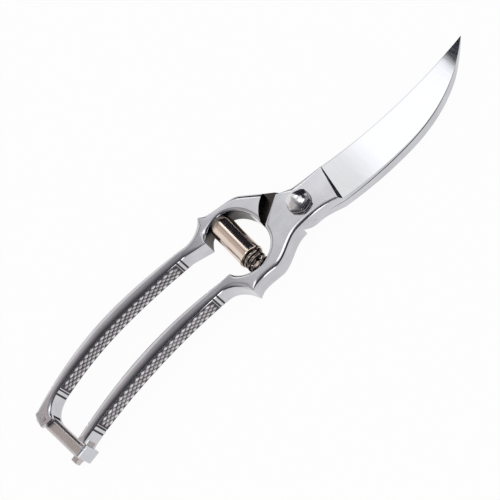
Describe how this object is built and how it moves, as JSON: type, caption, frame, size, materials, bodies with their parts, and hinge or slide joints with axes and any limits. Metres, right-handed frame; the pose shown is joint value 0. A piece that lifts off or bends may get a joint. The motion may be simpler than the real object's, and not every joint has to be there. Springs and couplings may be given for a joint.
{
  "type": "poultry shears",
  "caption": "Closed spring-opened poultry shears: forged curved blades on a hex pivot screw, knurled bow handles, a sleeved coil spring and a swinging latch bar at the handle ends.",
  "frame": {"origin": "on the pivot axis, at the flat underside of the pivot nut, level with the undersides of the levers", "axes": "+X along the closed blades towards the tip, +Y towards the upper handle that carries the latch, +Z along the pivot axis towards the screw head"},
  "size_m": [0.2535, 0.0489, 0.0141],
  "materials": {
    "upper_lever": "bright plated forging, knurled grip",
    "lower_lever": "bright plated forging, knurled grip, mirror blade",
    "pivot_nut": "satin",
    "pivot_screw": "polished",
    "pivot_washer": "satin",
    "spring_sleeve": "polished warm nickel",
    "coil_spring": "drawn wire, warm nickel",
    "spring_guide": "turned",
    "latch_bar": "satin plated",
    "latch_pin": "satin"
  },
  "bodies": {
    "upper": {"upper_lever": "upper_lever", "pivot_nut": "pivot_nut", "pivot_screw": "pivot_screw", "pivot_washer": "pivot_washer", "latch_pin": "latch_pin"},
    "lower": {"lower_lever": "lower_lever"},
    "sleeve": {"spring_sleeve": "spring_sleeve", "coil_spring": "coil_spring"},
    "guide": {"spring_guide": "spring_guide"},
    "latch": {"latch_bar": "latch_bar"}
  },
  "joints": [
    {"name": "pivot", "type": "hinge", "parent": "upper", "child": "lower", "pos_m": [0, 0, 0.005], "axis": [0, 0, 1], "range_deg": [0, 25], "stiffness_Nm_per_rad": 1.94, "springref_deg": 34.95},
    {"name": "sleeve_rock", "type": "hinge", "parent": "upper", "child": "sleeve", "pos_m": [-0.0316, 0.0208, 0.0063], "axis": [0, 0, 1], "range_deg": [0, 5.2]},
    {"name": "guide_slide", "type": "slide", "parent": "sleeve", "child": "guide", "axis": [0, -1, 0], "range_m": [0, 0.0137], "deforming": ["coil_spring"]},
    {"name": "latch_swing", "type": "hinge", "parent": "upper", "child": "latch", "pos_m": [-0.1474, 0.014, 0.005], "axis": [0, 0, 1], "range_deg": [-80, 7]}
  ],
  "couplings": [
    {"joint": "sleeve_rock", "follows": "pivot", "ratio": 0.2},
    {"joint": "guide_slide", "follows": "pivot", "m_per_rad": 0.03095}
  ]
}
